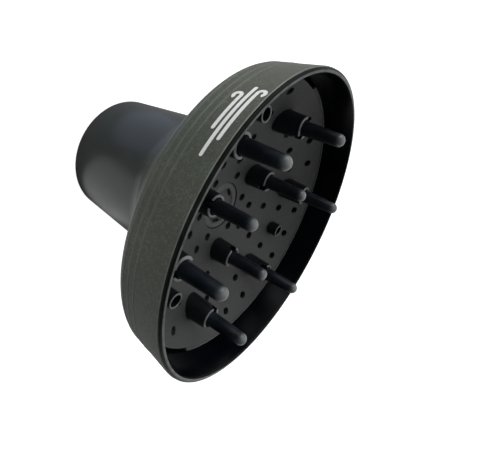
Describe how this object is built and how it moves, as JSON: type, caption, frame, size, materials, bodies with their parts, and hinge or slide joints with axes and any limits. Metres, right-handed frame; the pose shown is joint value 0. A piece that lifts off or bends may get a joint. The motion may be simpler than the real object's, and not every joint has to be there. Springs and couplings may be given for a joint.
{
  "type": "hair dryer diffuser",
  "caption": "Push-on bowl diffuser for a hair dryer: tapered neck, flared bowl, dished pierced plate and rounded prongs that lift and dry hair.",
  "frame": {"origin": "centre of the neck's end ring, at the bottom of the part when it stands on its neck", "axes": "+Z along the bowl's axis out of its mouth; +X through one of the screw tubes; +Y completes the right-handed frame"},
  "size_m": [0.1395, 0.1396, 0.1079],
  "materials": {
    "shell_satin": "satin soft-touch coating with a fine speckle",
    "liner_gloss": "gloss black moulding",
    "plate_matte": "fine matte moulding grain",
    "prong_satin": "satin black moulding",
    "collar_rubber": "soft matte silicone",
    "screw_steel": "dark zinc plated"
  },
  "bodies": {
    "root": {"outer_shell": "shell_satin", "bowl_liner": "liner_gloss", "face_plate": "plate_matte", "centre_cap": "plate_matte", "grip_collar": "collar_rubber", "screw_tube_1": "prong_satin", "plate_screw_1": "screw_steel", "screw_tube_2": "prong_satin", "plate_screw_2": "screw_steel", "screw_tube_3": "prong_satin", "plate_screw_3": "screw_steel", "outer_sleeve_1": "prong_satin", "outer_finger_1": "prong_satin", "outer_sleeve_2": "prong_satin", "outer_finger_2": "prong_satin", "outer_sleeve_3": "prong_satin", "outer_finger_3": "prong_satin", "outer_sleeve_4": "prong_satin", "outer_finger_4": "prong_satin", "outer_sleeve_5": "prong_satin", "outer_finger_5": "prong_satin", "outer_sleeve_6": "prong_satin", "outer_finger_6": "prong_satin", "inner_sleeve_1": "prong_satin", "inner_finger_1": "prong_satin", "inner_sleeve_2": "prong_satin", "inner_finger_2": "prong_satin", "inner_sleeve_3": "prong_satin", "inner_finger_3": "prong_satin"}
  },
  "joints": []
}
